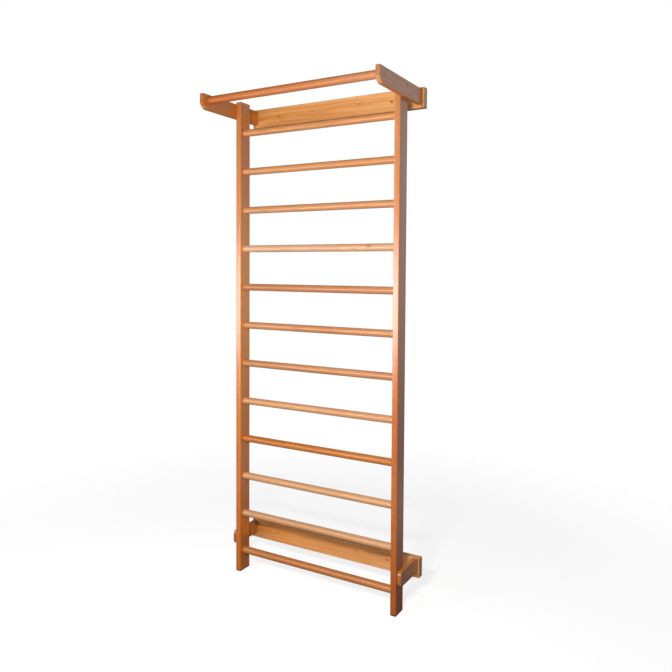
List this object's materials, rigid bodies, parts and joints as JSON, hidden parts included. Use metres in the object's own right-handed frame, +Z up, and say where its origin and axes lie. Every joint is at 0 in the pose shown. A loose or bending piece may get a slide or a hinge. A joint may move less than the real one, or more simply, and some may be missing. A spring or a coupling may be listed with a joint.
{
  "type": "wall bars",
  "caption": "Wooden wall bars: uprights joined by round climbing rungs, held off the wall by boards and side arms, with a pull-up bar carried in front at the top.",
  "frame": {"origin": "middle of the object's width and depth, on the floor", "axes": "+X to the right as a climber faces the bars, +Y towards the wall, +Z up; the pull-up bar is on the -Y side"},
  "size_m": [0.94, 0.442, 2.3],
  "materials": {
    "upright_wood": "clear gloss lacquer over honey-coloured wood, grain running up the upright",
    "rung_wood": "clear gloss lacquer over pale, straight-grained turned wood",
    "bar_wood": "clear gloss lacquer over pale, straight-grained turned wood",
    "arm_wood": "clear satin lacquer over honey-coloured wood, grain running front to back",
    "board_wood": "clear satin lacquer over honey-coloured wood with small knots, grain running along the board",
    "screw_steel": "zinc-plated steel, countersunk heads"
  },
  "bodies": {
    "root": {"upright_left": "upright_wood", "upright_right": "upright_wood", "rung_01": "rung_wood", "rung_02": "rung_wood", "rung_03": "rung_wood", "rung_04": "rung_wood", "rung_05": "rung_wood", "rung_06": "rung_wood", "rung_07": "rung_wood", "rung_08": "rung_wood", "rung_09": "rung_wood", "rung_10": "rung_wood", "rung_11": "rung_wood", "rung_12": "rung_wood", "pull_up_bar": "bar_wood", "upper_arm_left": "arm_wood", "lower_arm_left": "arm_wood", "upper_arm_right": "arm_wood", "lower_arm_right": "arm_wood", "upper_wall_board": "board_wood", "lower_wall_board": "board_wood", "upper_arm_screw_left_1": "screw_steel", "lower_arm_screw_left_1": "screw_steel", "upper_board_screw_left_1": "screw_steel", "lower_board_screw_left_1": "screw_steel", "upper_arm_screw_left_2": "screw_steel", "lower_arm_screw_left_2": "screw_steel", "upper_board_screw_left_2": "screw_steel", "lower_board_screw_left_2": "screw_steel", "bar_screw_left": "screw_steel", "upper_arm_screw_right_1": "screw_steel", "lower_arm_screw_right_1": "screw_steel", "upper_board_screw_right_1": "screw_steel", "lower_board_screw_right_1": "screw_steel", "upper_arm_screw_right_2": "screw_steel", "lower_arm_screw_right_2": "screw_steel", "upper_board_screw_right_2": "screw_steel", "lower_board_screw_right_2": "screw_steel", "bar_screw_right": "screw_steel"}
  },
  "joints": []
}
